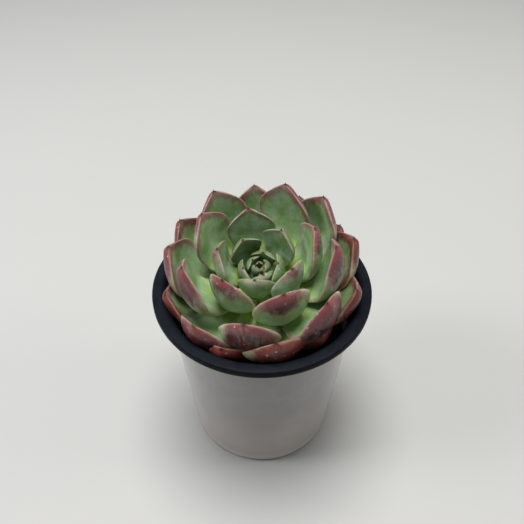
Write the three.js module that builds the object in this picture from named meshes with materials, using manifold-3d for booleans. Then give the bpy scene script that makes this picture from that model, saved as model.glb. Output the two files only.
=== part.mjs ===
// A potted echeveria: a rosette of thick pointed leaves on a short stem, in soil, in a
// two-colour plastic nursery pot with a flat rim. Millimetres, +Z up, the front towards -Y.
// The origin is the centre of the pot's underside, on the surface that it stands on.
import * as THREE from "three";
import { mergeVertices } from "three/addons/utils/BufferGeometryUtils.js";
import Module from "manifold-3d";

const wasm = await Module();
wasm.setup();
const radians = THREE.MathUtils.degToRad;

// Pot: a tapered cup with a flat flange that ends in a short lip, on six low feet
const rimRadius = 45;
const potHeight = 88;
const flangeWidth = 3.5;
const lipDrop = 3;
const wallThickness = 1;
const wallTopRadius = 39.2;
const wallFootRadius = 33.8;
const floorHeight = 2;
const footWidth = 3;
const footCount = 6;
const archAngle = radians(23);
const drainRadius = 2.6;
const drainRingRadius = 19;
const potSides = 48;

// Soil, and the stem that stands in it
const soilLevel = 69;
const soilCrown = 1.5;
const soilSides = 40;
const fitGap = 0.3;
const stemRadius = 5;
const stemFoot = 58;
const stemSides = 16;

// Rosette: leaves in a golden-angle spiral from the heart (leaf 1) to the oldest at the soil
const leafCount = 42;
const heartLeafCount = 7;
const goldenAngle = radians(137.508);
const firstAzimuth = radians(340);
const heartTwist = radians(36);
const twistFade = 10;
const leanForward = radians(10.6);
const leanLeft = radians(4.9);
const rosetteCentre = new THREE.Vector3(-0.3, 1.5, potHeight);
const crownHeight = 7;
const lowestLeafHeight = -7.5;
const widestAt = 0.69;
const baseWidthShare = 0.34;
const tipBluntness = 2;
const mucroLength = 1;
const turnSpan = 0.36;
const upperShare = 0.26;
const backRoundness = 1.15;

// Each trait runs from the youngest leaf to the oldest. Heights are above the rim.
const tipRadii = [0.6, 6.4, 18.3, 30.4, 37.3, 39.5, 39];
const tipHeights = [9.8, 12.8, 23.5, 27.5, 19, 10.6, 3.5];
const leafWidths = [2.4, 12, 19, 24, 25.5, 26, 24];
const leafThicknesses = [1.6, 3.6, 5.2, 6.2, 6.5, 6.3, 5.8];
const leafBends = [30, 66, 84, 90, 90, 80, 72];
const turnPoints = [0.3, 0.3, 0.33, 0.45, 0.57, 0.68, 0.75];

// How far a leaf may stray from the rule: round the stem, outwards as a share, and in height
const strayAngle = radians(5);
const strayReach = 0.03;
const strayHeight = 2;

// A value that runs smoothly through a short list, from its first (share 0) to its last (1)
function fromHeartOut(values, share) {
  const last = values.length - 1;
  const place = Math.min(share * last, last - 1e-6);
  const k = Math.floor(place);
  const t = place - k;
  const before = values[Math.max(k - 1, 0)];
  const a = values[k];
  const b = values[k + 1];
  const after = values[Math.min(k + 2, last)];
  const bow = 2 * before - 5 * a + 4 * b - after + t * (3 * (a - b) + after - before);
  return a + 0.5 * t * (b - before + t * bow);
}

// A repeatable number from -1 to 1 for each leaf and each trait
function wobble(index, trait) {
  const s = Math.sin(index * 12.9898 + trait * 78.233) * 43758.5453;
  return 2 * (s - Math.floor(s)) - 1;
}

// The rosette leans a little, as a whole, about its centre at the rim's height
const lean = new THREE.Matrix4()
  .makeTranslation(rosetteCentre)
  .multiply(new THREE.Matrix4().makeRotationY(-leanLeft))
  .multiply(new THREE.Matrix4().makeRotationX(leanForward));

// What one leaf is: where it leaves the stem, where its tip is and how it is shaped
function leafPlan(index) {
  const share = index / (leafCount - 1);
  const twist = heartTwist * Math.exp(-index / twistFade);
  return {
    azimuth: firstAzimuth + goldenAngle * index - twist + strayAngle * wobble(index, 547),
    baseRadius: stemRadius * Math.min(0.7, 0.15 + 4 * share),
    baseHeight: crownHeight + (lowestLeafHeight - crownHeight) * share,
    tipRadius: fromHeartOut(tipRadii, share) * (1 + strayReach * wobble(index, 1751)),
    tipHeight: fromHeartOut(tipHeights, share) + strayHeight * wobble(index, 747),
    width: fromHeartOut(leafWidths, share) * (1 + 0.05 * wobble(index, 2)),
    thickness: fromHeartOut(leafThicknesses, share),
    bend: radians(fromHeartOut(leafBends, share)),
    turnAt: fromHeartOut(turnPoints, share),
    roll: radians(6 * wobble(index, 3)),
  };
}

// Half the leaf's width at a share of its length, as a share of the widest half width
function outlineAt(u) {
  if (u < widestAt) {
    const rise = Math.sin((Math.PI / 2) * (u / widestAt));
    return baseWidthShare + (1 - baseWidthShare) * rise ** 1.4;
  }
  return 1 - ((u - widestAt) / (1 - widestAt)) ** tipBluntness;
}

// The midrib's points and pitches in the plane of the leaf: it starts out flat and turns up
// round its turning point
function midrib(plan, steps) {
  const base = new THREE.Vector2(plan.baseRadius, plan.baseHeight);
  const chord = new THREE.Vector2(plan.tipRadius, plan.tipHeight).sub(base);
  const { smoothstep } = THREE.MathUtils;
  const pitchAt = (u) => plan.bend * smoothstep(u, plan.turnAt - turnSpan, plan.turnAt + turnSpan);
  const substeps = 8;
  const end = new THREE.Vector2();
  const points = [end.clone()];
  for (let i = 0; i < steps * substeps; i++) {
    const pitch = pitchAt((i + 0.5) / (steps * substeps));
    end.add(new THREE.Vector2(Math.cos(pitch), Math.sin(pitch)));
    if ((i + 1) % substeps === 0) points.push(end.clone());
  }
  const turn = chord.angle() - end.angle();
  const scale = chord.length() / end.length();
  const hub = new THREE.Vector2();
  return points.map((point, i) => ({
    at: point.multiplyScalar(scale).rotateAround(hub, turn).add(base),
    pitch: pitchAt(i / steps) + turn,
  }));
}

// One leaf: rings of points round the midrib, closed by a flat base and a pointed tip.
// The upper face is a shallow channel and the back is full; grow makes it larger all over.
function leafSolid(plan, along, around, grow = 0) {
  const vertices = [];
  const triangles = [];
  const spine = midrib(plan, along);
  const placed = lean.clone().multiply(new THREE.Matrix4().makeRotationZ(plan.azimuth));
  const put = (x, y, z) => vertices.push(...new THREE.Vector3(x, y, z).applyMatrix4(placed));
  for (let i = 0; i < along; i++) {
    const u = i / along;
    const { at, pitch } = spine[i];
    const half = (plan.width / 2) * outlineAt(u) + grow;
    const body = Math.sin(Math.PI * Math.min(0.5, 0.2 + u * 0.75)) * (1 - 0.7 * u ** 6);
    const thick = plan.thickness * body + 2 * grow;
    const cup = (0.08 + 0.18 * u) * half;
    const roll = plan.roll * u;
    for (let j = 0; j < around; j++) {
      const angle = (2 * Math.PI * j) / around;
      const across = half * Math.cos(angle);
      const side = Math.sin(angle);
      const top = upperShare * Math.max(side, 0);
      const back = (1 - upperShare) * Math.max(-side, 0) ** backRoundness;
      const rise = cup * Math.cos(angle) ** 2 + thick * (top - back);
      const y = across * Math.cos(roll) - rise * Math.sin(roll);
      const up = across * Math.sin(roll) + rise * Math.cos(roll);
      put(at.x - Math.sin(pitch) * up, y, at.y + Math.cos(pitch) * up);
    }
  }
  const reach = mucroLength + grow;
  const tip = spine[along];
  put(tip.at.x + Math.cos(tip.pitch) * reach, 0, tip.at.y + Math.sin(tip.pitch) * reach);
  const tipVertex = along * around;
  for (let j = 0; j < around; j++) {
    const k = (j + 1) % around;
    for (let i = 0; i < along - 1; i++) {
      const a = i * around + j;
      const b = i * around + k;
      triangles.push(a, b, a + around, b, b + around, a + around);
    }
    triangles.push(tipVertex - around + j, tipVertex - around + k, tipVertex);
    if (j > 0 && j < around - 1) triangles.push(0, j + 1, j);
  }
  return solidOf(vertices, triangles);
}

function solidOf(coordinates, triangles) {
  return new wasm.Manifold(
    new wasm.Mesh({
      numProp: 3,
      vertProperties: new Float32Array(coordinates),
      triVerts: new Uint32Array(triangles),
    }),
  );
}

function solidOfGeometry(geometry) {
  const bare = geometry.clone();
  bare.deleteAttribute("normal");
  bare.deleteAttribute("uv");
  const merged = mergeVertices(bare, 1e-4);
  return solidOf(merged.attributes.position.array, merged.index.array);
}

// The largest closed body of a solid, without the scraps that a cut can leave
function mainBody(solid) {
  return solid.decompose().sort((a, b) => b.volume() - a.volume())[0];
}

// A solid of revolution about +Z, from [radius, height] pairs up the outside and down the inside
function turned(profile, sides) {
  const points = profile.map(([r, z]) => new THREE.Vector2(r, z));
  return solidOfGeometry(new THREE.LatheGeometry(points, sides).rotateX(Math.PI / 2));
}

function upright(radius, bottom, top, sides) {
  const rod = new THREE.CylinderGeometry(radius, radius, top - bottom, sides);
  return rod.rotateX(Math.PI / 2).translate(0, 0, (bottom + top) / 2);
}

// The pot's section; grow thickens its inside and its flange, for cutting what lies against it
function potBody(grow = 0) {
  const innerTop = wallTopRadius - wallThickness - grow;
  const innerFoot = wallFootRadius - wallThickness - grow;
  const footInner = wallFootRadius - 0.8 - footWidth;
  const flangeTop = potHeight + grow;
  const flangeInner = rimRadius - flangeWidth - grow;
  const flangeUnder = potHeight - wallThickness;
  return turned(
    [
      [0, floorHeight],
      [footInner, floorHeight],
      [footInner + 0.3, 0],
      [wallFootRadius - 1.8, 0],
      [wallFootRadius - 0.6, 1],
      [wallFootRadius, 3.2],
      [wallTopRadius, potHeight - 6],
      [wallTopRadius + 0.6, potHeight - 3.6],
      [wallTopRadius + 1.5, potHeight - 2],
      [wallTopRadius + 2.8, flangeUnder],
      [rimRadius - 1.2, flangeUnder],
      [rimRadius - wallThickness, potHeight - lipDrop],
      [rimRadius, potHeight - lipDrop],
      [rimRadius + grow, potHeight - 0.7],
      [rimRadius - 0.4 + grow, flangeTop],
      [flangeInner, flangeTop],
      [flangeInner - 1, flangeTop - 0.5],
      [flangeInner - 2, flangeTop - 2],
      [innerTop + 0.4, potHeight - 4],
      [innerTop, potHeight - 6],
      [innerFoot, 5],
      [innerFoot - 1.4, floorHeight + 1.2 + grow],
      [0, floorHeight + 1.2 + grow],
    ],
    potSides,
  );
}

function pot() {
  let body = potBody();
  for (let i = 0; i < footCount; i++) {
    const angle = (2 * Math.PI * (i + 0.5)) / footCount - Math.PI / 2;
    const archWidth = 2 * (wallFootRadius - footWidth) * Math.sin(archAngle / 2);
    const arch = new THREE.BoxGeometry(12, archWidth, 2 * floorHeight - 0.4);
    arch.translate(wallFootRadius - 1.5, 0, 0).rotateZ(angle);
    const drain = upright(drainRadius, -1, 6, 16).translate(drainRingRadius, 0, 0).rotateZ(angle);
    body = body.subtract(solidOfGeometry(arch)).subtract(solidOfGeometry(drain));
  }
  return body.subtract(solidOfGeometry(upright(drainRadius, -1, 6, 16)));
}

// The height of the soil's lumpy top, above its level at the wall
function soilTop(x, y) {
  const lumps = Math.sin(x * 0.55) * Math.cos(y * 0.6 + 1) + 0.6 * Math.sin(x * 1.1 + y * 0.8);
  return soilCrown * (1 - Math.hypot(x, y) / wallTopRadius) + 0.5 * lumps;
}

function soil(stemHole) {
  const wallAt = (z) =>
    wallFootRadius + ((wallTopRadius - wallFootRadius) * (z - 3.2)) / (potHeight - 9.2) - wallThickness;
  const outer = wallAt(soilLevel) - fitGap;
  const floor = floorHeight + 1.2 + fitGap;
  const rings = [0.985, 0.8, 0.6, 0.4, 0.2];
  const profile = [
    [0, floor],
    [wallAt(5) - 2, floor],
    [wallAt(5) - fitGap, 5.4],
    [outer, soilLevel],
    ...rings.map((share) => [outer * share, soilLevel + 0.6]),
    [0, soilLevel + 0.6],
  ];
  const points = profile.map(([r, z]) => new THREE.Vector2(r, z));
  const shape = new THREE.LatheGeometry(points, soilSides).rotateX(Math.PI / 2);
  const position = shape.attributes.position;
  for (let i = 0; i < position.count; i++) {
    if (position.getZ(i) < soilLevel + 0.3) continue;
    const height = position.getZ(i) + soilTop(position.getX(i), position.getY(i));
    position.setZ(i, height);
  }
  return mainBody(solidOfGeometry(shape).subtract(stemHole));
}

// The stem, leaning with the rosette, with a domed top inside the heart
function stemSolid(grow = 0) {
  const top = crownHeight + 0.3 + grow;
  const radius = stemRadius + grow;
  const foot = stemFoot - potHeight - grow;
  const profile = [
    [0, foot],
    [radius * 0.7, foot],
    [radius * 0.92, foot + 6],
    [radius, foot + 14],
    [radius, top - 5],
    [radius * 0.75, top - 1.2],
    [0, top],
  ];
  return turned(profile, stemSides).transform(lean.elements);
}

function mesh(name, solid, material) {
  const made = new THREE.Mesh(geometryOf(solid), material);
  made.name = name;
  return made;
}

function geometryOf(solid) {
  const shape = solid.getMesh();
  return new THREE.BufferGeometry()
    .setAttribute("position", new THREE.BufferAttribute(shape.vertProperties, 3))
    .setIndex(new THREE.BufferAttribute(shape.triVerts, 1));
}

const whitePlastic = new THREE.MeshStandardMaterial({ color: 0xd9d6d2, roughness: 0.35 });
const pottingSoil = new THREE.MeshStandardMaterial({ color: 0x2a211b, roughness: 0.95 });
const stemSkin = new THREE.MeshStandardMaterial({ color: 0x7d8a5c, roughness: 0.7 });
const youngLeaf = new THREE.Color(0x6f9a62);
const oldLeaf = new THREE.Color(0x93504a);

function leafMaterial(index) {
  const color = youngLeaf.clone().lerp(oldLeaf, (index / (leafCount - 1)) ** 2);
  return new THREE.MeshStandardMaterial({ color, roughness: 0.55 });
}

const plans = Array.from({ length: leafCount }, (_, index) => leafPlan(index));
const finenessOf = (index) => (index < heartLeafCount ? [6, 6] : [7, 8]);
const grownLeaves = plans.map((plan, index) => leafSolid(plan, ...finenessOf(index), fitGap));
const grownStem = stemSolid(fitGap);
const potClearance = potBody(fitGap);

// The heart's leaves are fused with the stem that carries them
let crown = stemSolid();
for (let index = 0; index < heartLeafCount; index++) {
  crown = crown.add(leafSolid(plans[index], ...finenessOf(index)));
}

const soilBody = soil(grownStem);
const part = new THREE.Group();
part.add(mesh("pot", pot(), whitePlastic));
part.add(mesh("soil", soilBody, pottingSoil));
part.add(mesh("stem_and_heart", mainBody(crown), stemSkin));

// Every other leaf is a piece of its own, hollowed where a younger leaf, the rim or the soil
// presses on it
const soilClearance = soilBody.translate(0, 0, fitGap);
for (let index = heartLeafCount; index < leafCount; index++) {
  let leaf = leafSolid(plans[index], ...finenessOf(index)).subtract(grownStem);
  for (let younger = 0; younger < index; younger++) {
    leaf = leaf.subtract(grownLeaves[younger]);
  }
  leaf = mainBody(leaf.subtract(potClearance).subtract(soilClearance));
  const name = `leaf_${String(index + 1).padStart(2, "0")}`;
  part.add(mesh(name, leaf, leafMaterial(index)));
}

export default part;
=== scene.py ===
import math
import random

import bpy
from mathutils import Matrix, Vector, noise


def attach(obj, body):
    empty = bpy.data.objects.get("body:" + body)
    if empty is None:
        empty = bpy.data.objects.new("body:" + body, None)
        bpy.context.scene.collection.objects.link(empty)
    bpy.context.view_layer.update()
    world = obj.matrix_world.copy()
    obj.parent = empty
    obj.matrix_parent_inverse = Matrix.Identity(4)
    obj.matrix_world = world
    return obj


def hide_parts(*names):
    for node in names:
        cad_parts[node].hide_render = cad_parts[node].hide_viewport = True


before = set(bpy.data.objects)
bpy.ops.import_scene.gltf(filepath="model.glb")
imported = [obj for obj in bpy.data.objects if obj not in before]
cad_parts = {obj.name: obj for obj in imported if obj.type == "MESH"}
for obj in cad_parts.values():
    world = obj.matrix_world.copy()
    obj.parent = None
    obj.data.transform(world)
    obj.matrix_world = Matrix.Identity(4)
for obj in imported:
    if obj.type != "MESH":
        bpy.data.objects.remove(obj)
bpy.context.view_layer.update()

mm = 0.001
scene = bpy.context.scene

# the camera, where the photograph was taken from (mm, degrees)
viewpoint = {
    "place": (0.0, -160.7, 253.8),
    "tilt": 46.19,  # up from straight down
    "lens": 38.47, "sensor": 36.0,
    "nearest": 10.0, "farthest": 20000.0,
}


def addCamera():
    lens = bpy.data.cameras.new("photoCamera")
    lens.lens = viewpoint["lens"]
    lens.sensor_width = viewpoint["sensor"]
    lens.clip_start = viewpoint["nearest"] * mm
    lens.clip_end = viewpoint["farthest"] * mm
    eye = bpy.data.objects.new("photoCamera", lens)
    eye.location = Vector(viewpoint["place"]) * mm
    eye.rotation_euler = (math.radians(viewpoint["tilt"]), 0, 0)
    scene.collection.objects.link(eye)
    scene.camera = eye


addCamera()
print("camera placed")


# helpers that make shader nodes and join them; a value is a number, a colour or another node's output
def feed(tree, socket, value):
    if isinstance(value, bpy.types.NodeSocket):
        tree.links.new(value, socket)
    elif socket.type == "RGBA":
        socket.default_value = (*value, 1.0)
    elif value is not None:
        socket.default_value = value


def calc(tree, operation, first, second=None):
    node = tree.nodes.new("ShaderNodeMath")
    node.operation = operation
    feed(tree, node.inputs[0], first)
    feed(tree, node.inputs[1], second)
    return node.outputs[0]


def times(tree, value, *others):
    for other in others:
        value = calc(tree, "MULTIPLY", value, other)
    return value


def plus(tree, value, *others):
    for other in others:
        value = calc(tree, "ADD", value, other)
    return value


def minus(tree, value, other):
    return calc(tree, "SUBTRACT", value, other)


def lessBy(tree, mask, share):
    # 1 where the mask is 0, down to 1 - share where it is 1
    return minus(tree, 1.0, times(tree, mask, share))


def ramp(tree, value, low, high, bottom=0.0, top=1.0):
    # smooth step from bottom to top while value goes from low to high
    node = tree.nodes.new("ShaderNodeMapRange")
    node.interpolation_type = "SMOOTHSTEP"
    feed(tree, node.inputs["Value"], value)
    feed(tree, node.inputs["From Min"], low)
    feed(tree, node.inputs["From Max"], high)
    feed(tree, node.inputs["To Min"], bottom)
    feed(tree, node.inputs["To Max"], top)
    return node.outputs["Result"]


def blend(tree, share, first, second):
    node = tree.nodes.new("ShaderNodeMix")
    node.data_type = "RGBA"
    feed(tree, node.inputs[0], share)
    feed(tree, node.inputs[6], first)
    feed(tree, node.inputs[7], second)
    return node.outputs[2]


def shade(color, share):
    return tuple(share * c for c in color)


def onObject(tree):
    return tree.nodes.new("ShaderNodeTexCoord").outputs["Object"]


def grain(tree, scale, detail=2.0, roughness=0.5, stretch=None, place=None):
    # noise from 0 to 1, in the object's own space unless another place is given
    if place is None:
        place = onObject(tree)
    if stretch:
        mapping = tree.nodes.new("ShaderNodeMapping")
        mapping.inputs["Scale"].default_value = stretch
        tree.links.new(place, mapping.inputs["Vector"])
        place = mapping.outputs["Vector"]
    node = tree.nodes.new("ShaderNodeTexNoise")
    tree.links.new(place, node.inputs["Vector"])
    feed(tree, node.inputs["Scale"], scale)
    node.inputs["Detail"].default_value = detail
    node.inputs["Roughness"].default_value = roughness
    return node.outputs["Fac"]


def trait(tree, name):
    node = tree.nodes.new("ShaderNodeAttribute")
    node.attribute_name = name
    return node.outputs["Fac"]


def arrange(tree):
    # set the nodes out in columns, each to the left of what it feeds
    columnWidth, rowHeight = 220, 190
    column = {}

    def depthOf(node):
        if node.name not in column:
            column[node.name] = 0
            after = [depthOf(link.to_node) + 1 for out in node.outputs for link in out.links]
            column[node.name] = max(after, default=0)
        return column[node.name]

    used = {}
    for node in tree.nodes:
        depth = depthOf(node)
        node.location = (-columnWidth * depth, -rowHeight * used.get(depth, 0))
        used[depth] = used.get(depth, 0) + 1


def newGroup(name, inputs, outputs):
    tree = bpy.data.node_groups.new(name, "ShaderNodeTree")
    for title, kind, value in inputs:
        socket = tree.interface.new_socket(title, in_out="INPUT", socket_type="NodeSocket" + kind)
        socket.default_value = value
    for title, kind in outputs:
        tree.interface.new_socket(title, in_out="OUTPUT", socket_type="NodeSocket" + kind)
    return tree, tree.nodes.new("NodeGroupInput").outputs, tree.nodes.new("NodeGroupOutput").inputs


def useGroup(tree, group, values):
    node = tree.nodes.new("ShaderNodeGroup")
    node.node_tree = group
    for title, value in values.items():
        feed(tree, node.inputs[title], value)
    return node.outputs


def newMaterial(name, constants):
    # constants are set straight on the shader's own sockets
    material = bpy.data.materials.new(name)
    material.use_nodes = True
    tree = material.node_tree
    for title, value in constants.items():
        tree.nodes["Principled BSDF"].inputs[title].default_value = value
    return material, tree


def finishMaterial(material, color, roughness=None, height=None, look=None):
    # joins what the nodes make to the shader; a height needs a look that says how deep and strong it is
    tree = material.node_tree
    shader = tree.nodes["Principled BSDF"]
    feed(tree, shader.inputs["Base Color"], color)
    feed(tree, shader.inputs["Roughness"], roughness)
    if height is not None:
        bump = tree.nodes.new("ShaderNodeBump")
        bump.inputs["Distance"].default_value = look["bumpDepth"]
        bump.inputs["Strength"].default_value = look["bumpStrength"]
        tree.links.new(height, bump.inputs["Height"])
        tree.links.new(bump.outputs["Normal"], shader.inputs["Normal"])
    arrange(tree)
    return material


# effects that several materials share
def makeSpots():
    # scattered small round marks, each fading over its outer half
    tree, given, out = newGroup(
        "spots",
        [("Scale", "Float", 300.0), ("Size", "Float", 0.2), ("Share", "Float", 0.3)],
        [("Mask", "Float")],
    )
    cells = tree.nodes.new("ShaderNodeTexVoronoi")
    tree.links.new(onObject(tree), cells.inputs["Vector"])
    tree.links.new(given["Scale"], cells.inputs["Scale"])
    dot = ramp(tree, cells.outputs["Distance"], given["Size"], times(tree, given["Size"], 0.5))
    pick = tree.nodes.new("ShaderNodeSeparateColor")
    tree.links.new(cells.outputs["Color"], pick.inputs["Color"])
    chosen = calc(tree, "LESS_THAN", pick.outputs["Red"], given["Share"])
    tree.links.new(times(tree, dot, chosen), out["Mask"])
    arrange(tree)
    return tree


def makeRelief():
    # a fine grain over slow waves, as a height
    tree, given, out = newGroup(
        "relief",
        [("Fine Scale", "Float", 900.0), ("Coarse Scale", "Float", 90.0), ("Fine Share", "Float", 0.3)],
        [("Height", "Float")],
    )
    fine = times(tree, grain(tree, given["Fine Scale"], detail=3.0, roughness=0.6), given["Fine Share"])
    tree.links.new(plus(tree, fine, grain(tree, given["Coarse Scale"])), out["Height"])
    arrange(tree)
    return tree


def makeDusting():
    # a thin pale layer, thicker in patches, such as leaf wax or dust
    tree, given, out = newGroup(
        "dusting",
        [
            ("Color", "Color", (0.5, 0.5, 0.5, 1)),
            ("Dust Color", "Color", (0.8, 0.8, 0.8, 1)),
            ("Amount", "Float", 0.2),
            ("Scale", "Float", 120.0),
        ],
        [("Color", "Color"), ("Mask", "Float")],
    )
    patches = ramp(tree, grain(tree, given["Scale"], detail=6.0, roughness=0.65), 0.36, 0.66, bottom=0.1)
    mask = times(tree, patches, given["Amount"])
    tree.links.new(blend(tree, mask, given["Color"], given["Dust Color"]), out["Color"])
    tree.links.new(mask, out["Mask"])
    arrange(tree)
    return tree


spots = makeSpots()
relief = makeRelief()
dusting = makeDusting()


def spotMask(tree, scale, size, share):
    return useGroup(tree, spots, {"Scale": scale, "Size": size, "Share": share})["Mask"]


def reliefHeight(tree, fineScale, coarseScale, fineShare):
    return useGroup(tree, relief, {
        "Fine Scale": fineScale, "Coarse Scale": coarseScale, "Fine Share": fineShare,
    })["Height"]


def dusted(tree, color, dust, amount, scale):
    return useGroup(tree, dusting, {"Color": color, "Dust Color": dust, "Amount": amount, "Scale": scale})


print("shared effects made")

# where the colours lie on a leaf: along runs from its foot (0) to its tip (1), across from its midrib (0)
# to its margin (1). A border is where a zone starts and where it is full, and then its values at the two,
# unless they are 0 and 1. Noise is scale, detail and roughness, here and below.
leafPattern = {
    "ragged": (230.0, 5.0, 0.65), "raggedDepth": 0.34,  # noise that frays the borders
    "narrowing": (1.02, 0.76),  # along
    "streaks": (1.6, 8.0, 0.7), "streakBorder": (0.36, 0.64),
    "streaksAcross": 4.4, "streaksAlong": 2.6, "streaksApart": 40.0,  # steps in the streaks' noise
    "top": (-0.12, 0.12),  # back to face
    "base": (0.55, 0.12), "tip": (0.985, 1.0),  # along
    "rimLine": (0.955, 0.995), "keel": (0.32, 0.02),  # across
    "rimLineFade": (0.95, 0.6, 0.4, 1.0),  # along
    "edgeTowardsTip": (0.4, 1.0, 0.92, 1.2),  # along
    "edgeFade": 0.3, "edgeRaggedness": 1.3, "edgeStreaks": 0.14,
    "blushStart": (0.25, 0.8, 0.7, 0.36),  # by age: the older the leaf, the nearer to its foot
    "blushStartLuck": 0.12, "blushFade": 0.25,
    "blushNarrowing": (1.0, 0.75, 0.55, 1.0),  # along
    "blushSkew": 0.3, "blushSideFade": 0.34,
}


def leafStreaks(tree, sideways, along, face, chance, widthHere):
    # they run from the foot of the leaf to its tip and don't crowd together there, and no two leaves match
    onLeaf = tree.nodes.new("ShaderNodeCombineXYZ")
    feed(tree, onLeaf.inputs["X"], times(tree, sideways, widthHere, leafPattern["streaksAcross"]))
    feed(tree, onLeaf.inputs["Y"], times(tree, along, leafPattern["streaksAlong"]))
    feed(tree, onLeaf.inputs["Z"], plus(tree, times(tree, chance, leafPattern["streaksApart"]), face))
    streaks = grain(tree, *leafPattern["streaks"], place=onLeaf.outputs["Vector"])
    return ramp(tree, streaks, *leafPattern["streakBorder"])


def leafEdge(tree, along, across, widthHere, ragged, streaks, edgeStart):
    # the band along the margin is as wide at the tip as at the sides
    fromMargin = times(tree, minus(tree, 1.0, across), widthHere)
    edge = plus(
        tree, minus(tree, ramp(tree, along, *leafPattern["edgeTowardsTip"]), fromMargin),
        times(tree, ragged, leafPattern["edgeRaggedness"]), times(tree, streaks, leafPattern["edgeStreaks"]),
    )
    return ramp(tree, edge, edgeStart, plus(tree, edgeStart, leafPattern["edgeFade"]))


def leafBlush(tree, along, sideways, chance, age, ragged, spread):
    # a flush of red from somewhere up the leaf to its tip, more to one side of it than to the other
    start = ramp(tree, age, *leafPattern["blushStart"])
    start = plus(tree, start, times(tree, chance, leafPattern["blushStartLuck"]))
    reach = ramp(tree, plus(tree, along, ragged), start, plus(tree, start, leafPattern["blushFade"]))
    skew = times(tree, minus(tree, chance, 0.5), leafPattern["blushSkew"])
    fromMiddle = calc(tree, "ABSOLUTE", plus(tree, sideways, skew))
    fromMiddle = times(tree, fromMiddle, ramp(tree, along, *leafPattern["blushNarrowing"]))
    inner = minus(tree, spread, leafPattern["blushSideFade"])
    return times(tree, reach, ramp(tree, plus(tree, fromMiddle, ragged), spread, inner))


def makeLeafZones():
    titles = ("Top", "Base", "Edge", "Rim Line", "Tip", "Blush", "Keel", "Streaks")
    tree, given, out = newGroup(
        "leafZones",
        [("Edge Start", "Float", 0.78), ("Blush Spread", "Float", 0.8)],
        [(title, "Float") for title in titles],
    )
    along, sideways = trait(tree, "along"), trait(tree, "across")
    face, chance, age = trait(tree, "face"), trait(tree, "chance"), trait(tree, "age")
    across = calc(tree, "ABSOLUTE", sideways)
    widthHere = ramp(tree, along, *leafPattern["narrowing"])
    unevenness = minus(tree, grain(tree, *leafPattern["ragged"]), 0.5)
    ragged = times(tree, unevenness, leafPattern["raggedDepth"])
    streaks = leafStreaks(tree, sideways, along, face, chance, widthHere)
    rimLine = ramp(tree, across, *leafPattern["rimLine"])
    fromKeel = plus(tree, times(tree, across, widthHere), ragged)
    zones = (
        ramp(tree, face, *leafPattern["top"]),
        ramp(tree, plus(tree, along, ragged), *leafPattern["base"]),
        leafEdge(tree, along, across, widthHere, ragged, streaks, given["Edge Start"]),
        times(tree, rimLine, ramp(tree, along, *leafPattern["rimLineFade"])),
        ramp(tree, along, *leafPattern["tip"]),
        leafBlush(tree, along, sideways, chance, age, ragged, given["Blush Spread"]),
        ramp(tree, fromKeel, *leafPattern["keel"]),
        streaks,
    )
    for title, zone in zip(titles, zones):
        tree.links.new(zone, out[title])
    arrange(tree)
    return tree


leafZones = makeLeafZones()

# one finish for each age of leaf
leafFinishes = {
    "youngLeafSkin": {
        "green": (0.155, 0.27, 0.09), "baseGreen": (0.26, 0.38, 0.045), "edge": (0.14, 0.06, 0.052),
        "back": (0.16, 0.25, 0.10), "fringe": (0.19, 0.15, 0.11), "blush": (0.10, 0.032, 0.028),
        "rimLine": (0.34, 0.31, 0.24), "wax": (0.37, 0.46, 0.40), "waxShare": 0.55,
        "edgeStart": 0.86, "edgeShare": 0.85, "backEdge": 0.4, "blushSpread": 1.04, "blushShare": 0.7,
    },
    "midLeafSkin": {
        "green": (0.17, 0.30, 0.08), "baseGreen": (0.36, 0.47, 0.06), "edge": (0.20, 0.062, 0.066),
        "back": (0.20, 0.30, 0.11), "fringe": (0.145, 0.088, 0.07), "blush": (0.050, 0.012, 0.016),
        "rimLine": (0.40, 0.33, 0.26), "wax": (0.38, 0.46, 0.40), "waxShare": 0.5,
        "edgeStart": 0.79, "edgeShare": 0.9, "backEdge": 0.5, "blushSpread": 0.98, "blushShare": 1.1,
    },
    "oldLeafSkin": {
        "green": (0.16, 0.24, 0.07), "baseGreen": (0.34, 0.41, 0.06), "edge": (0.14, 0.03, 0.022),
        "back": (0.24, 0.30, 0.11), "fringe": (0.16, 0.07, 0.046), "blush": (0.070, 0.008, 0.006),
        "rimLine": (0.38, 0.28, 0.21), "wax": (0.36, 0.40, 0.34), "waxShare": 0.36,
        "edgeStart": 0.7, "edgeShare": 1.0, "backEdge": 0.35, "blushSpread": 0.98, "blushShare": 1.25,
    },
}
# what leaves of all ages share; spots are scale, size and share, relief is fine scale, coarse scale and
# share of the fine
leafDetail = {
    "shine": {
        "Specular IOR Level": 0.42, "Coat Weight": 0.13, "Coat Roughness": 0.3,
        "Subsurface Weight": 0.2, "Subsurface Scale": 0.0015, "Subsurface Radius": (1.0, 0.8, 0.3),
    },
    "roughness": 0.4, "waxRoughness": 0.8,
    "heartGreen": (0.042, 0.09, 0.016), "heartAges": (0.34, 0.2), "heartSpared": 0.65,
    "mottle": (70.0, 3.0, 0.6), "mottleBorder": (0.35, 0.65), "faceMottle": 0.8, "backMottle": 0.86,
    "backBase": 0.7, "backHeart": 0.7, "backEdge": (0.45, 1.0),
    "fringe": (0.05, 0.45), "blush": (0.28, 0.9),
    "blushAtLeast": 0.5, "blushLuck": 0.2, "blushStreaks": 0.5,
    "freckleColor": (0.10, 0.018, 0.016), "freckles": (700.0, 0.35, 0.12), "freckleShare": 0.6,
    "scarColor": (0.55, 0.42, 0.38), "scars": (620.0, 0.35, 0.18), "scarShare": 0.45,
    "mucroColor": (0.06, 0.018, 0.02), "keelShare": 0.9, "rimLineShare": 0.5,
    "relief": (1500.0, 190.0, 0.12), "scarHeight": 0.3, "streakHeight": 0.12,
    "bumpDepth": 0.00045, "bumpStrength": 0.7,
}
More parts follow.
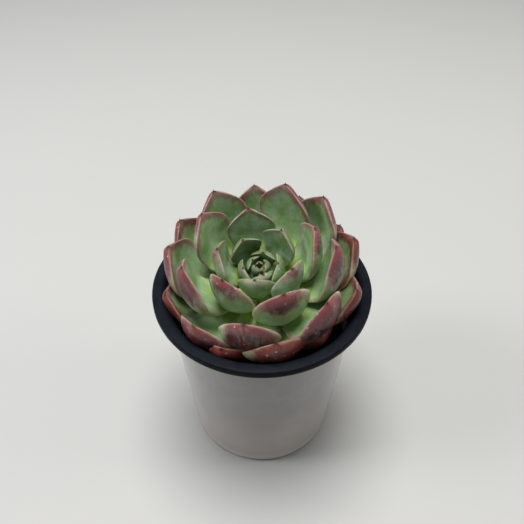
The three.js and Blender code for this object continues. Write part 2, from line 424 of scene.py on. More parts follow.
# the wax on the faces, what the backs have on top of it, and how much of it the other places lose
leafWax = {
    "scale": 150.0, "onFace": 1.05, "moreOnBack": 0.25, "blushed": 1.4, "streaked": 0.25,
    "inHeart": 0.6, "atBase": 0.6, "atEdge": 0.4,
}


def leafFaceColor(tree, look, zones, mottle, inHeart, spared):
    color = blend(tree, mottle, look["green"], shade(look["green"], leafDetail["faceMottle"]))
    color = blend(tree, zones["Base"], color, look["baseGreen"])
    color = blend(tree, inHeart, color, leafDetail["heartGreen"])
    return blend(tree, times(tree, zones["Edge"], look["edgeShare"], spared), color, look["edge"])


def leafBackColor(tree, look, zones, mottle, inHeart, spared, blushing):
    detail = leafDetail
    color = blend(tree, mottle, look["back"], shade(look["back"], detail["backMottle"]))
    color = blend(tree, times(tree, zones["Base"], detail["backBase"]), color, look["baseGreen"])
    color = blend(tree, times(tree, inHeart, detail["backHeart"]), color, detail["heartGreen"])
    color = blend(tree, ramp(tree, blushing, *detail["fringe"]), color, look["fringe"])
    color = blend(tree, ramp(tree, blushing, *detail["blush"]), color, look["blush"])
    keel = times(tree, zones["Keel"], blushing, detail["keelShare"])
    color = blend(tree, keel, color, detail["freckleColor"])
    edge = ramp(tree, zones["Edge"], *detail["backEdge"])
    return blend(tree, times(tree, edge, spared, look["backEdge"]), color, look["edge"])


def waxAmount(tree, look, zones, inHeart, onBack, blushing):
    # thickest on the green of the backs, and thin on the blush and in the heart
    more = minus(tree, leafWax["moreOnBack"], times(tree, blushing, leafWax["blushed"]))
    amount = plus(tree, leafWax["onFace"], times(tree, onBack, more))
    amount = minus(tree, amount, times(tree, zones["Streaks"], leafWax["streaked"]))
    for mask, loss in ((inHeart, "inHeart"), (zones["Base"], "atBase"), (zones["Edge"], "atEdge")):
        amount = times(tree, amount, lessBy(tree, mask, leafWax[loss]))
    return times(tree, amount, look["waxShare"])


def makeLeafSkin(name, look):
    detail = leafDetail
    material, tree = newMaterial(name, detail["shine"])
    zones = useGroup(tree, leafZones, {"Edge Start": look["edgeStart"], "Blush Spread": look["blushSpread"]})
    mottle = ramp(tree, grain(tree, *detail["mottle"]), *detail["mottleBorder"])
    inHeart = ramp(tree, trait(tree, "age"), *detail["heartAges"])
    spared = lessBy(tree, inHeart, detail["heartSpared"])  # the heart has little red
    onBack = minus(tree, 1.0, zones["Top"])
    strength = plus(
        tree, detail["blushAtLeast"], times(tree, trait(tree, "chance"), detail["blushLuck"]),
        times(tree, zones["Streaks"], detail["blushStreaks"]),
    )
    blushing = times(tree, zones["Blush"], strength, look["blushShare"], spared)

    back = leafBackColor(tree, look, zones, mottle, inHeart, spared, blushing)
    face = leafFaceColor(tree, look, zones, mottle, inHeart, spared)
    skin = blend(tree, zones["Top"], back, face)
    # the pale rim line is partly the leaf's own pale margin and partly a painted highlight along the edge
    skin = blend(tree, times(tree, zones["Rim Line"], detail["rimLineShare"]), skin, look["rimLine"])
    freckles = times(tree, spotMask(tree, *detail["freckles"]), blushing, detail["freckleShare"])
    skin = blend(tree, freckles, skin, detail["freckleColor"])
    amount = waxAmount(tree, look, zones, inHeart, onBack, blushing)
    waxed = dusted(tree, skin, look["wax"], amount, leafWax["scale"])
    scars = times(tree, spotMask(tree, *detail["scars"]), onBack)
    skin = blend(tree, times(tree, scars, detail["scarShare"]), waxed["Color"], detail["scarColor"])
    skin = blend(tree, zones["Tip"], skin, detail["mucroColor"])
    roughness = plus(tree, detail["roughness"], times(tree, waxed["Mask"], detail["waxRoughness"]))
    height = plus(
        tree, reliefHeight(tree, *detail["relief"]), times(tree, scars, detail["scarHeight"]),
        times(tree, zones["Streaks"], detail["streakHeight"]),
    )
    return finishMaterial(material, skin, roughness, height, detail)


leafSkins = {name: makeLeafSkin(name, look) for name, look in leafFinishes.items()}
print("leaf skins made")

# the rosette, by the same rule as the solids (mm, degrees); the lists run from the heart outwards
rosette = {
    "leafCount": 42, "heartLeafCount": 7, "midLeafFrom": 15, "oldLeafFrom": 29,
    "goldenAngle": 137.508, "firstAzimuth": 340.0,
    "heartTwist": 36.0, "twistFade": 10.0,  # fades over so many leaves
    "leanForward": 10.6, "leanLeft": 4.9, "centre": (-0.3, 1.5, 88.0),
    "crownHeight": 7.0, "lowestLeafHeight": -7.5,
    "stemRadius": 5.0, "stemFoot": 58.0,
    "footReach": 0.15, "footReachGrowth": 4.0, "footReachMost": 0.7,  # where a leaf starts, in stem radii
    "tipRadii": [0.6, 6.4, 18.3, 30.4, 37.3, 39.5, 39],
    "tipHeights": [9.8, 12.8, 23.5, 27.5, 19, 10.6, 3.5],
    "leafWidths": [2.4, 12, 19, 24, 25.5, 26, 24],
    "leafThicknesses": [1.6, 3.6, 5.2, 6.2, 6.5, 6.3, 5.8],
    "leafBends": [30, 66, 84, 90, 90, 80, 72],
    "turnPoints": [0.3, 0.3, 0.33, 0.45, 0.57, 0.68, 0.75], "turnSpan": 0.36,
    "strays": {
        # how far leaves stray from the rule, and the seed; the first three seeds were picked because they
        # bring the tips nearest to where the photograph has them
        "angle": (5.0, 547), "reach": (0.03, 1751), "height": (2.0, 747),
        "width": (0.05, 2), "roll": (6.0, 3),
    },
    "chanceSeed": 7,
}
# a leaf's own form: shares of its length, width and thickness, and the mucro in mm
leafShape = {
    "rings": 46, "sides": 44, "heartRings": 24, "heartSides": 24,
    "widestAt": 0.69, "baseWidthShare": 0.34, "shoulderCurve": 1.4, "tipBluntness": 2.0,
    "edgeWave": 0.012, "edgeWaves": 9,
    "mucroLength": 1.0, "mucroWidth": 0.6, "mucroRings": 3, "mucroFrom": 0.9,
    "thickAtFoot": 0.2, "thickening": 0.75, "tipThinning": 0.7, "thinningCurve": 6, "thinBelowWidth": 0.1,
    "upperShare": 0.26, "upperRoundness": 1.0, "backRoundness": 1.15,
    "cupAtFoot": 0.08, "cupGrowth": 0.18,
    "dents": 0.05, "dentsAlong": 4, "dentsAcross": 1.6, "faceToBack": 5, "leafToLeaf": 7.3,  # steps in noise
    "groove": (0.06, 0.16), "keel": (0.05, 0.2),  # depth and width, on the face and on the back
}


def fromHeartOut(values, share):
    # a smooth curve through the values, from the first at 0 to the last at 1
    last = len(values) - 1
    place = min(share * last, last - 1e-6)
    k = int(place)
    t = place - k
    before, a, b, after = values[max(k - 1, 0)], values[k], values[k + 1], values[min(k + 2, last)]
    bow = 2 * before - 5 * a + 4 * b - after + t * (3 * (a - b) + after - before)
    return a + 0.5 * t * (b - before + t * bow)


def wobble(index, seed):
    # an even spread from -1 to 1, always the same for the same leaf and seed
    s = math.sin(index * 12.9898 + seed * 78.233) * 43758.5453
    return 2 * (s - math.floor(s)) - 1


def stray(index, name):
    most, seed = rosette["strays"][name]
    return most * wobble(index, seed)


lean = (
    Matrix.Translation(rosette["centre"])
    @ Matrix.Rotation(math.radians(-rosette["leanLeft"]), 4, "Y")
    @ Matrix.Rotation(math.radians(rosette["leanForward"]), 4, "X")
)


def leafPlan(index):
    share = index / (rosette["leafCount"] - 1)

    def here(name):
        return fromHeartOut(rosette[name], share)

    turn = rosette["goldenAngle"] * index
    twist = rosette["heartTwist"] * math.exp(-index / rosette["twistFade"])
    footReach = min(rosette["footReachMost"], rosette["footReach"] + rosette["footReachGrowth"] * share)
    rise = rosette["lowestLeafHeight"] - rosette["crownHeight"]
    return {
        "index": index,
        "azimuth": math.radians(rosette["firstAzimuth"] + turn - twist + stray(index, "angle")),
        "baseRadius": rosette["stemRadius"] * footReach,
        "baseHeight": rosette["crownHeight"] + rise * share,
        "tipRadius": here("tipRadii") * (1 + stray(index, "reach")),
        "tipHeight": here("tipHeights") + stray(index, "height"),
        "width": here("leafWidths") * (1 + stray(index, "width")),
        "thickness": here("leafThicknesses"),
        "bend": math.radians(here("leafBends")),
        "turnAt": here("turnPoints"),
        "roll": math.radians(stray(index, "roll")),
    }


def midrib(plan, steps):
    # starts out flat and turns up round its turning point, in the leaf's own plane
    def pitchAt(u):
        t = (u - plan["turnAt"]) / (2 * rosette["turnSpan"]) + 0.5
        t = min(max(t, 0), 1)
        return plan["bend"] * t * t * (3 - 2 * t)

    base = Vector((plan["baseRadius"], plan["baseHeight"]))
    chord = Vector((plan["tipRadius"], plan["tipHeight"])) - base
    substeps = 4
    end = Vector((0, 0))
    points = [end.copy()]
    for i in range(steps * substeps):
        pitch = pitchAt((i + 0.5) / (steps * substeps))
        end = end + Vector((math.cos(pitch), math.sin(pitch)))
        if (i + 1) % substeps == 0:
            points.append(end.copy())
    turn = math.atan2(chord.y, chord.x) - math.atan2(end.y, end.x)
    scale = chord.length / end.length
    turned = Matrix.Rotation(turn, 2)
    return [(turned @ (point * scale) + base, pitchAt(i / steps) + turn) for i, point in enumerate(points)]


def outlineAt(u):
    # share of the leaf's width at u, the way from its foot (0) to its tip (1)
    widest = leafShape["widestAt"]
    if u < widest:
        shoulder = math.sin(math.pi / 2 * u / widest) ** leafShape["shoulderCurve"]
        return leafShape["baseWidthShare"] + (1 - leafShape["baseWidthShare"]) * shoulder
    return max(0.0, 1 - ((u - widest) / (1 - widest)) ** leafShape["tipBluntness"])


def halfWidthAt(plan, u, past):
    # past is how far out on the mucro, from 0 to 1
    tipShare = max(0.0, (u - leafShape["mucroFrom"]) / (1 - leafShape["mucroFrom"])) ** 2
    half = plan["width"] / 2 * outlineAt(u) + leafShape["mucroWidth"] / 2 * tipShare * (1 - past)
    wave = leafShape["edgeWave"] * math.sin(u * leafShape["edgeWaves"] + plan["index"])
    return half * (1 + wave * (1 - past))


def thicknessAt(plan, u, half):
    body = math.sin(math.pi * min(0.5, leafShape["thickAtFoot"] + u * leafShape["thickening"]))
    body *= 1 - leafShape["tipThinning"] * u ** leafShape["thinningCurve"]
    return plan["thickness"] * body * min(1.0, half / (leafShape["thinBelowWidth"] * plan["width"]))


def riseAt(plan, u, half, thick, outward, side):
    # how high the skin stands over the midrib; outward is -1 to 1 across the leaf, side is 1 on its face
    # and -1 on its back
    cup = (leafShape["cupAtFoot"] + leafShape["cupGrowth"] * u) * half
    top = leafShape["upperShare"] * max(side, 0) ** leafShape["upperRoundness"]
    back = (1 - leafShape["upperShare"]) * max(-side, 0) ** leafShape["backRoundness"]
    bumpy = noise.noise(Vector((
        u * leafShape["dentsAlong"],
        outward * leafShape["dentsAcross"] + leafShape["faceToBack"] * (side > 0),
        plan["index"] * leafShape["leafToLeaf"],
    )))
    dent = leafShape["dents"] * plan["thickness"] * bumpy * abs(side)
    depth, width = leafShape["groove"] if side > 0 else leafShape["keel"]
    fold = depth * thick * math.exp(-((outward / width) ** 2)) * math.sin(math.pi * u)
    return cup * outward ** 2 + thick * (top - back) + dent - fold


def joinRings(first, ringCount, around, foot, tip):
    # faces between rings of points, and a fan at each end
    faces = []
    last = first + (ringCount - 1) * around
    for j in range(around):
        k = (j + 1) % around
        for ring in range(first, last, around):
            faces.append((ring + j, ring + k, ring + around + k, ring + around + j))
        faces.append((last + j, last + k, tip))
        faces.append((first + k, first + j, foot))
    return faces


# what each point of a leaf knows: its place on the leaf, and its leaf's luck and age
leafTraits = ("along", "across", "face", "chance", "age")


def newSheet():
    return {title: [] for title in ("points", "faces") + leafTraits}


def drawLeaf(sheet, plan, rings, sides):
    spine = midrib(plan, rings)
    placed = lean @ Matrix.Rotation(plan["azimuth"], 4, "Z")
    first = len(sheet["points"])
    chance = 0.5 + 0.5 * wobble(plan["index"], rosette["chanceSeed"])
    age = plan["index"] / rosette["leafCount"]
    mucroRings, mucroLength = leafShape["mucroRings"], leafShape["mucroLength"]

    def mark(x, y, z, along, across, face):
        sheet["points"].append((placed @ Vector((x, y, z))) * mm)
        for title, value in zip(leafTraits, (along, across, face, chance, age)):
            sheet[title].append(value)

    for i in range(rings + mucroRings):
        past = max(0, i - rings) / mucroRings
        u = min(i / rings, 1.0)
        at, pitch = spine[min(i, rings)]
        x = at.x + math.cos(pitch) * mucroLength * past
        z = at.y + math.sin(pitch) * mucroLength * past
        half = halfWidthAt(plan, u, past)
        thick = thicknessAt(plan, u, half)
        roll = plan["roll"] * u
        for j in range(sides):
            angle = 2 * math.pi * j / sides
            outward, side = math.cos(angle), math.sin(angle)
            across = half * outward
            rise = riseAt(plan, u, half, thick, outward, side)
            y = across * math.cos(roll) - rise * math.sin(roll)
            up = across * math.sin(roll) + rise * math.cos(roll)
            mark(x - math.sin(pitch) * up, y, z + math.cos(pitch) * up, u, outward, side)
    at, pitch = spine[rings]
    mark(at.x + math.cos(pitch) * mucroLength, 0, at.y + math.sin(pitch) * mucroLength, 1, 0, 0)
    at, pitch = spine[0]
    mark(at.x, 0, at.y, 0, 0, 0)
    tip = len(sheet["points"]) - 2
    sheet["faces"] += joinRings(first, rings + mucroRings, sides, tip + 1, tip)


def smoothAll(mesh):
    mesh.polygons.foreach_set("use_smooth", [True] * len(mesh.polygons))


def addPiece(name, points, faces, materials, faceMaterials=None):
    mesh = bpy.data.meshes.new(name)
    mesh.from_pydata(points, [], faces)
    for material in materials:
        mesh.materials.append(material)
    if faceMaterials:
        mesh.polygons.foreach_set("material_index", faceMaterials)
    smoothAll(mesh)
    mesh.update()
    piece = bpy.data.objects.new(name, mesh)
    scene.collection.objects.link(piece)
    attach(piece, "root")
    return piece


def addSheet(name, sheet, materials, faceMaterials=None):
    piece = addPiece(name, sheet["points"], sheet["faces"], materials, faceMaterials)
    for title in leafTraits:
        layer = piece.data.attributes.new(title, "FLOAT", "POINT")
        layer.data.foreach_set("value", sheet[title])
    return piece


def skinFor(index):
    if index < rosette["midLeafFrom"]:
        return "youngLeafSkin", "young_leaf"
    if index < rosette["oldLeafFrom"]:
        return "midLeafSkin", "mid_leaf"
    return "oldLeafSkin", "old_leaf"


def addLeaves():
    for index in range(rosette["heartLeafCount"], rosette["leafCount"]):
        sheet = newSheet()
        drawLeaf(sheet, leafPlan(index), leafShape["rings"], leafShape["sides"])
        skin, slot = skinFor(index)
        leaf = addSheet(f"leaf{index + 1:02d}", sheet, [leafSkins[skin]])
        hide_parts(f"leaf_{index + 1:02d}")


addLeaves()
print("leaves drawn")

# the stem, which stands in the soil under the heart (mm)
stem = {
    "sides": 40, "aboveCrown": 0.3,
    "fromFoot": ((0.7, 0.0), (0.92, 6.0), (1.0, 14.0)),  # share of the stem's radius, and how far up
    "fromTop": ((1.0, -5.0), (0.75, -1.2)),
    "green": (0.20, 0.23, 0.08), "bark": (0.13, 0.10, 0.05),
    "patches": (300.0, 4.0, 0.6), "patchBorder": (0.35, 0.65),
    "dust": ((0.35, 0.33, 0.25), 0.3, 250.0),  # colour, amount and scale
    "relief": (1200.0, 300.0, 0.5), "bumpDepth": 0.0006, "bumpStrength": 1.0,
    "shine": {"Roughness": 0.7},
}


def circle(radius, z, sides, middle=(0, 0)):
    turns = [2 * math.pi * j / sides for j in range(sides)]
    return [(middle[0] + radius * math.cos(turn), middle[1] + radius * math.sin(turn), z) for turn in turns]


def makeStemSkin():
    material, tree = newMaterial("stemSkin", stem["shine"])
    patches = ramp(tree, grain(tree, *stem["patches"]), *stem["patchBorder"])
    color = blend(tree, patches, stem["green"], stem["bark"])
    dusty = dusted(tree, color, *stem["dust"])
    height = reliefHeight(tree, *stem["relief"])
    return finishMaterial(material, dusty["Color"], height=height, look=stem)


def addStemAndHeart():
    foot = rosette["stemFoot"] - rosette["centre"][2]
    top = rosette["crownHeight"] + stem["aboveCrown"]
    profile = [(share, foot + up) for share, up in stem["fromFoot"]]
    profile += [(share, top + up) for share, up in stem["fromTop"]]
    sheet = newSheet()
    points = []
    for share, z in profile:
        points += circle(rosette["stemRadius"] * share, z, stem["sides"])
    points += [(0, 0, foot), (0, 0, top)]
    sheet["points"] = [(lean @ Vector(point)) * mm for point in points]
    for title in leafTraits:
        sheet[title] = [0.0] * len(points)
    sheet["faces"] = joinRings(0, len(profile), stem["sides"], len(points) - 2, len(points) - 1)
    stemFaces = len(sheet["faces"])
    for index in range(rosette["heartLeafCount"]):
        drawLeaf(sheet, leafPlan(index), leafShape["heartRings"], leafShape["heartSides"])
    onFaces = [0] * stemFaces + [1] * (len(sheet["faces"]) - stemFaces)
    heart = addSheet("stemAndHeart", sheet, [makeStemSkin(), leafSkins["youngLeafSkin"]], onFaces)
    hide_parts("stem_and_heart")


addStemAndHeart()
print("stem and heart drawn")

# the pot: the same section as the solid, with rounded corners (mm, degrees)
pot = {
    "rimRadius": 45.0, "height": 88.0, "flangeWidth": 3.5, "lipDrop": 3.0, "wall": 1.0,
    "wallTopRadius": 39.2, "wallFootRadius": 33.8,
    "wallFrom": 3.2, "flareDrop": 6.0,  # the straight wall starts so high and ends so far below the rim
    "floorHeight": 2.0, "floorThickness": 1.2, "footWidth": 3.0, "footCount": 6,
    "archAngle": 23.0, "archGap": 0.2, "archTaper": 0.5, "archReach": 6.0, "archSetBack": 1.5,
    "drainRadius": 2.6, "drainRingRadius": 19.0, "drainSides": 32, "drainReach": (-1, 6),  # down and up
    "sides": 160, "cornerRadius": 0.45, "cornerSteps": 4, "sharpFrom": 35.0,
}
# the outside of the wall and the feet; its streaks are noise stretched upwards
whitePlastic = {
    "shine": {"Specular IOR Level": 0.5, "Coat Weight": 0.9, "Coat Roughness": 0.12},
    # painted shade: the colour is a dark grey that stands in for the shade on the white wall
    "color": (0.112, 0.106, 0.102), "paintedBounceColor": (0.31, 0.265, 0.245), "paintedFootGlowColor": (0.64, 0.56, 0.52),
    "paintedBounceHeights": (0.062, 0.0), "feet": (0.009, 0.0),  # heights in m, where the painted light from below and the painted glow at the feet start and where they are full
    "paintedFootGlowShare": 0.6,
    "streaks": (160.0, 3.0, 0.5, (1, 1, 0.05)), "streakBorder": (0.3, 0.7), "streakShade": 0.94,
    "speckColor": (0.08, 0.07, 0.06), "specks": (160.0, 0.07, 0.06), "speckShare": 0.7,
    "dust": ((0.6, 0.58, 0.55), 0.06, 70.0),
    "roughness": 0.28, "streakRoughness": 0.03,
}
# the lip, the flange and the inside
blackPlastic = {
    "shine": {"Specular IOR Level": 0.03},
    "color": (0.0035, 0.0045, 0.0065), "cloudColor": (0.005, 0.007, 0.010),
    "clouds": (120.0, 4.0, 0.6), "cloudBorder": (0.3, 0.7),
    "dust": ((0.024, 0.029, 0.037), 0.08, 200.0),
    "speckColor": (0.22, 0.2, 0.18), "specks": (500.0, 0.12, 0.04), "speckShare": 0.4,
    "roughness": 0.36, "dustRoughness": 1.2,
    "relief": (900.0, 120.0, 0.15), "bumpDepth": 0.0004, "bumpStrength": 0.5,
}


def potProfile():
    # (radius, height) up the outside and down the inside; the black layer starts under the flange
    wall, top, foot = pot["wall"], pot["wallTopRadius"], pot["wallFootRadius"]
    rim, height, floor = pot["rimRadius"], pot["height"], pot["floorHeight"]
    floorTop = floor + pot["floorThickness"]
    lip = height - pot["lipDrop"]
    flare = height - pot["flareDrop"]
    footInner = foot - 0.8 - pot["footWidth"]
    flangeInner = rim - pot["flangeWidth"]
    outside = [
        (0, floor), (footInner, floor),
        (footInner + 0.3, 0), (foot - 1.8, 0), (foot - 0.6, 1),  # foot
        (foot, pot["wallFrom"]), (top, flare),
        (top + 0.6, height - 3.6), (top + 1.5, height - 2), (top + 2.8, height - wall),  # flare
        (rim - 1.2, height - wall),
    ]
    inside = [
        (rim - wall, lip), (rim, lip), (rim, height - 0.7),
        (rim - 0.4, height), (flangeInner, height),  # flange
        (flangeInner - 1, height - 0.5), (flangeInner - 2, height - 2), (top - wall + 0.4, height - 4),
        (top - wall, flare), (foot - wall, 5),
        (foot - wall - 1.4, floorTop), (0, floorTop),
    ]
    return outside + inside, len(outside)


def rounded(profile, radius, steps):
    # each corner becomes a short curve; the second list says which corner a point came from
    mostOfSide = 0.45
    points, origin = [profile[0]], [0]
    for i in range(1, len(profile) - 1):
        corner = Vector(profile[i])
        before, after = Vector(profile[i - 1]) - corner, Vector(profile[i + 1]) - corner
        cut = min(radius, before.length * mostOfSide, after.length * mostOfSide)
        start, end = corner + before.normalized() * cut, corner + after.normalized() * cut
        for step in range(steps + 1):
            t = step / steps
            points.append(tuple(start.lerp(corner, t).lerp(corner.lerp(end, t), t)))
            origin.append(i)
    return points + [profile[-1]], origin + [len(profile) - 1]


def spin(profile, sides):
    # a section turned round the middle; a face's band says which stretch of the section it came from
    points, faces, bands, rings = [], [], [], []
    for r, z in profile:
        if r < 1e-6:
            rings.append([len(points)] * sides)
            points.append((0, 0, z))
        else:
            rings.append([len(points) + j for j in range(sides)])
            points += circle(r, z, sides)
    for i in range(len(profile) - 1):
        for j in range(sides):
            k = (j + 1) % sides
            corners = (rings[i][j], rings[i][k], rings[i + 1][k], rings[i + 1][j])
            faces.append(tuple(dict.fromkeys(corners)))
            bands.append(i)
    return points, faces, bands


def makeWhitePlastic():
    look = whitePlastic
    material, tree = newMaterial("whitePlastic", look["shine"])
    streaks = ramp(tree, grain(tree, *look["streaks"]), *look["streakBorder"])
    color = blend(tree, streaks, look["color"], shade(look["color"], look["streakShade"]))
    # painted light: the wall's colour lightens towards the foot, standing in for light from below
    place = tree.nodes.new("ShaderNodeSeparateXYZ")
    tree.links.new(onObject(tree), place.inputs["Vector"])
    height = place.outputs["Z"]
    color = blend(tree, ramp(tree, height, *look["paintedBounceHeights"]), color, look["paintedBounceColor"])
    # painted glow: the feet are lightened as if light shone through the thin plastic
    feet = times(tree, ramp(tree, height, *look["feet"]), look["paintedFootGlowShare"])
    color = blend(tree, feet, color, look["paintedFootGlowColor"])
    specks = times(tree, spotMask(tree, *look["specks"]), look["speckShare"])
    color = blend(tree, specks, color, look["speckColor"])
    dusty = dusted(tree, color, *look["dust"])
    roughness = plus(tree, look["roughness"], times(tree, streaks, look["streakRoughness"]))
    return finishMaterial(material, dusty["Color"], roughness)


def makeBlackPlastic():
    look = blackPlastic
    material, tree = newMaterial("blackPlastic", look["shine"])
    clouds = ramp(tree, grain(tree, *look["clouds"]), *look["cloudBorder"])
    color = blend(tree, clouds, look["color"], look["cloudColor"])
    dusty = dusted(tree, color, *look["dust"])
    specks = times(tree, spotMask(tree, *look["specks"]), look["speckShare"])
    color = blend(tree, specks, dusty["Color"], look["speckColor"])
    roughness = plus(tree, look["roughness"], times(tree, dusty["Mask"], look["dustRoughness"]))
    return finishMaterial(material, color, roughness, reliefHeight(tree, *look["relief"]), look)


def inMetres(points):
    return [tuple(c * mm for c in point) for point in points]


def cutAway(piece, points, faces, material):
    mesh = bpy.data.meshes.new("cutter")
    mesh.from_pydata(inMetres(points), [], faces)
    mesh.materials.append(material)
    mesh.update()
    cutter = bpy.data.objects.new("cutter", mesh)
    scene.collection.objects.link(cutter)
    gap = piece.modifiers.new("gap", "BOOLEAN")
    gap.operation = "DIFFERENCE"
    gap.solver = "EXACT"
    gap.object = cutter
    bpy.context.view_layer.update()
    done = bpy.data.meshes.new_from_object(piece.evaluated_get(bpy.context.evaluated_depsgraph_get()))
    piece.modifiers.clear()
    old = piece.data
    piece.data = done
    bpy.data.meshes.remove(old)
    bpy.data.meshes.remove(mesh)  # and the cutter with it


def prismFaces(start, sides):
    low, high = range(start, start + sides), range(start + sides, start + 2 * sides)
    faces = [tuple(reversed(low)), tuple(high)]
    for j in range(sides):
        k = (j + 1) % sides
        faces.append((low[j], low[k], high[k], high[j]))
    return faces


def betweenFeet():
    return [2 * math.pi * (i + 0.5) / pot["footCount"] - math.pi / 2 for i in range(pot["footCount"])]


def cutArches(piece, material):
    # the gaps between the feet, a little narrower at the top
    points, faces = [], []
    half = (pot["wallFootRadius"] - pot["footWidth"]) * math.sin(math.radians(pot["archAngle"] / 2))
    tall = pot["floorHeight"] - pot["archGap"]
    near = pot["wallFootRadius"] - pot["archSetBack"] - pot["archReach"]
    far = near + 2 * pot["archReach"]
    for angle in betweenFeet():
        turn = Matrix.Rotation(angle, 3, "Z")
        faces += prismFaces(len(points), 4)
        for z, y in ((-tall, half), (tall, half - pot["archTaper"])):
            corners = ((near, -y, z), (far, -y, z), (far, y, z), (near, y, z))
            points += [tuple(turn @ Vector(corner)) for corner in corners]
    cutAway(piece, points, faces, material)


def cutDrainHoles(piece, material):
    # one in the middle, and a ring of them
    points, faces = [], []
    ring = pot["drainRingRadius"]
    middles = [(0.0, 0.0)] + [(ring * math.cos(angle), ring * math.sin(angle)) for angle in betweenFeet()]
    for middle in middles:
        faces += prismFaces(len(points), pot["drainSides"])
        for z in pot["drainReach"]:
            points += circle(pot["drainRadius"], z, pot["drainSides"], middle)
    cutAway(piece, points, faces, material)


def addPot():
    profile, blackFrom = potProfile()
    section, origin = rounded(profile, pot["cornerRadius"], pot["cornerSteps"])
    points, faces, bands = spin(section, pot["sides"])
    onFaces = [1 if origin[band] >= blackFrom - 1 and band > 0 else 0 for band in bands]
    white, black = makeWhitePlastic(), makeBlackPlastic()
    piece = addPiece("nurseryPot", inMetres(points), faces, [white, black], onFaces)
    cutArches(piece, white)
    cutDrainHoles(piece, white)
    smoothAll(piece.data)
    piece.data.set_sharp_from_angle(angle=math.radians(pot["sharpFrom"]))
    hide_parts("pot")


addPot()
print("pot drawn")

# the soil (mm)
soil = {
    "level": 69.0, "lift": 0.6, "crown": 1.5, "lumpHeight": 0.5, "fitGap": 0.3,
    "cornerFrom": 5, "cornerWidth": 1.7, "cornerHeight": 5.4, "sideHeights": (20, 35, 50),
    "surfaceShare": 0.985, "liftedShare": 0.99,  # of the radius at the top
    "crumbHeight": 0.35, "crumbScale": 1.3,
    "rings": 40, "sides": 96, "sharpFrom": 40.0,
    "seed": 7, "grainCount": 900, "grainSizes": (0.35, 1.3), "grainStretch": (0.6, 1.1), "grainLift": 0.3,
    "grainReach": 0.95, "grainSpread": (0.03, 1), "grainTurn": (0, 6.28),
}
soilSkin = {
    "shine": {"Specular IOR Level": 0.3},
    "dark": (0.010, 0.008, 0.006), "light": (0.045, 0.032, 0.022), "fibre": (0.12, 0.08, 0.045),
    "crumbs": (700.0, 5.0, 0.7), "crumbBorder": (0.35, 0.7), "fibres": (380.0, 0.25, 0.12),
    "roughness": (0.3, 0.7, 0.8, 0.97), "relief": (1500.0, 500.0, 0.6),
    "bumpDepth": 0.0012, "bumpStrength": 1.0,
}
# a loose grain has six corners, each pulled in or out a little
grainCorners = ((1, 0, 0), (-1, 0, 0), (0, 1, 0), (0, -1, 0), (0, 0, 1), (0, 0, -1))
grainFaces = ((0, 2, 4), (2, 1, 4), (1, 3, 4), (3, 0, 4), (2, 0, 5), (1, 2, 5), (3, 1, 5), (0, 3, 5))


def makeSoilSkin():
    look = soilSkin
    material, tree = newMaterial("soilSkin", look["shine"])
    crumbs = grain(tree, *look["crumbs"])
    color = blend(tree, ramp(tree, crumbs, *look["crumbBorder"]), look["dark"], look["light"])
    color = blend(tree, spotMask(tree, *look["fibres"]), color, look["fibre"])
    roughness = ramp(tree, crumbs, *look["roughness"])
    return finishMaterial(material, color, roughness, reliefHeight(tree, *look["relief"]), look)


def soilTop(x, y):
    # slow lumps over a low crown
    lumps = math.sin(x * 0.55) * math.cos(y * 0.6 + 1) + 0.6 * math.sin(x * 1.1 + y * 0.8)
    height = soil["crown"] * (1 - math.hypot(x, y) / pot["wallTopRadius"]) + soil["lumpHeight"] * lumps
    return soil["level"] + soil["lift"] + height


def soilReach(z):
    # the soil's radius at a height, just clear of the pot's wall
    tall = pot["height"] - pot["flareDrop"] - pot["wallFrom"]
    slope = (pot["wallTopRadius"] - pot["wallFootRadius"]) / tall
    return pot["wallFootRadius"] + slope * (z - pot["wallFrom"]) - pot["wall"] - soil["fitGap"]


def soilProfile():
    # (radius, height) from the middle of the pot's floor, up the wall and back in over the surface
    floor = pot["floorHeight"] + pot["floorThickness"] + soil["fitGap"]
    level, rings = soil["level"], soil["rings"]
    corner = soilReach(soil["cornerFrom"])
    profile = [(0, floor), (corner - soil["cornerWidth"], floor), (corner, soil["cornerHeight"])]
    profile += [(soilReach(z), z) for z in soil["sideHeights"]] + [(soilReach(level), level)]
    surface = soilReach(level) * soil["surfaceShare"]
    profile += [(surface * (1 - i / rings), level) for i in range(rings)]
    return profile + [(0, level)]


def addGrains(points, faces, outer):
    # loose grains, partly sunk in the surface
    random.seed(soil["seed"])
    for _ in range(soil["grainCount"]):
        reach = outer * soil["grainReach"] * math.sqrt(random.uniform(*soil["grainSpread"]))
        turn = random.uniform(0, 2 * math.pi)
        x, y = reach * math.cos(turn), reach * math.sin(turn)
        size = random.uniform(*soil["grainSizes"])
        middle = (x, y, soilTop(x, y) + soil["grainLift"] * size)
        roll = random.uniform(*soil["grainTurn"])
        axis = Vector((random.random(), random.random(), random.random() + 0.1)).normalized()
        tilt = Matrix.Rotation(roll, 3, axis)
        faces += [tuple(len(points) + corner for corner in face) for face in grainFaces]
        for corner in grainCorners:
            offset = tilt @ (Vector(corner) * size * random.uniform(*soil["grainStretch"]))
            points.append(tuple((c + d) * mm for c, d in zip(middle, offset)))


def addSoil():
    outer = soilReach(soil["level"])
    flat, faces, _ = spin(soilProfile(), soil["sides"])
    points = []
    for x, y, z in flat:
        if z == soil["level"] and math.hypot(x, y) < outer * soil["liftedShare"]:
            crumb = noise.noise(Vector((x * soil["crumbScale"], y * soil["crumbScale"], 2.0)))
            z = soilTop(x, y) + crumb * soil["crumbHeight"]
        points.append((x * mm, y * mm, z * mm))
    addGrains(points, faces, outer)
    piece = addPiece("soilFill", points, faces, [makeSoilSkin()])
    piece.data.set_sharp_from_angle(angle=math.radians(soil["sharpFrom"]))
    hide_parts("soil")


addSoil()
print("soil drawn")

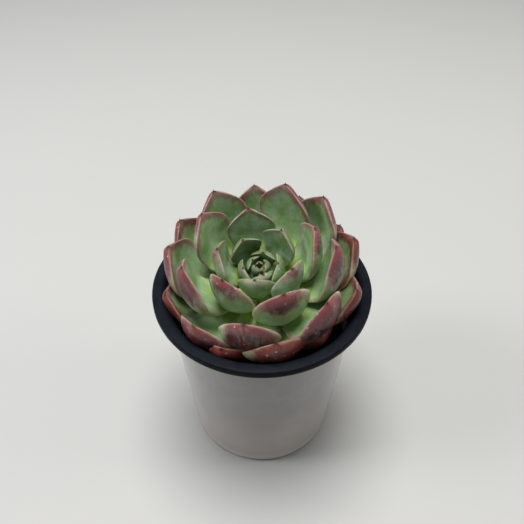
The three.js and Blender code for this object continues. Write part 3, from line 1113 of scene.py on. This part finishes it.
# the floor, the lights and the air (m)
studio = {
    "floorSize": 3.0, "floorColor": (0.335, 0.337, 0.33), "floorShade": 0.97,
    "floorPatches": (6.0, 4.0, 0.6), "floorShine": {"Roughness": 0.85, "Specular IOR Level": 0.2},
    "airColor": (0.91, 0.92, 0.91), "airStrength": 0.25,
    "lightsAim": (0, 0, 0.07),
    "lights": [
        # name, place, size, power (W), colour
        ("ceilingPanel", (-0.04, 0.1, 1.3), 0.75, 27.0, (1.0, 0.99, 0.97)),
        ("leftWindow", (-0.8, -0.1, 0.75), 0.35, 6.0, (0.96, 0.98, 1.0)),
        ("rightWindow", (0.9, 0.0, 0.6), 0.4, 3.0, (1.0, 0.98, 0.96)),
    ],
}


def addFloor():
    side = studio["floorSize"] / 2
    corners = [(-side, -side, 0), (side, -side, 0), (side, side, 0), (-side, side, 0)]
    mesh = bpy.data.meshes.new("floor")
    mesh.from_pydata(corners, [], [(0, 1, 2, 3)])
    material, tree = newMaterial("paleFloor", studio["floorShine"])
    patches = grain(tree, *studio["floorPatches"])
    color = blend(tree, patches, studio["floorColor"], shade(studio["floorColor"], studio["floorShade"]))
    mesh.materials.append(finishMaterial(material, color))
    floor = bpy.data.objects.new("floor", mesh)
    scene.collection.objects.link(floor)


def addLights():
    for name, place, size, power, color in studio["lights"]:
        lamp = bpy.data.lights.new(name, "AREA")
        lamp.shape = "DISK"
        lamp.size = size
        lamp.energy = power
        lamp.color = color
        holder = bpy.data.objects.new(name, lamp)
        holder.location = place
        towards = Vector(studio["lightsAim"]) - Vector(place)
        holder.rotation_euler = towards.to_track_quat("-Z", "Y").to_euler()
        scene.collection.objects.link(holder)


def addAir():
    air = bpy.data.worlds.new("air")
    air.use_nodes = True
    background = air.node_tree.nodes["Background"]
    feed(air.node_tree, background.inputs["Color"], studio["airColor"])
    feed(air.node_tree, background.inputs["Strength"], studio["airStrength"])
    scene.world = air
    scene.view_settings.view_transform = "Standard"


addFloor()
addLights()
addAir()
print("floor and lights placed")
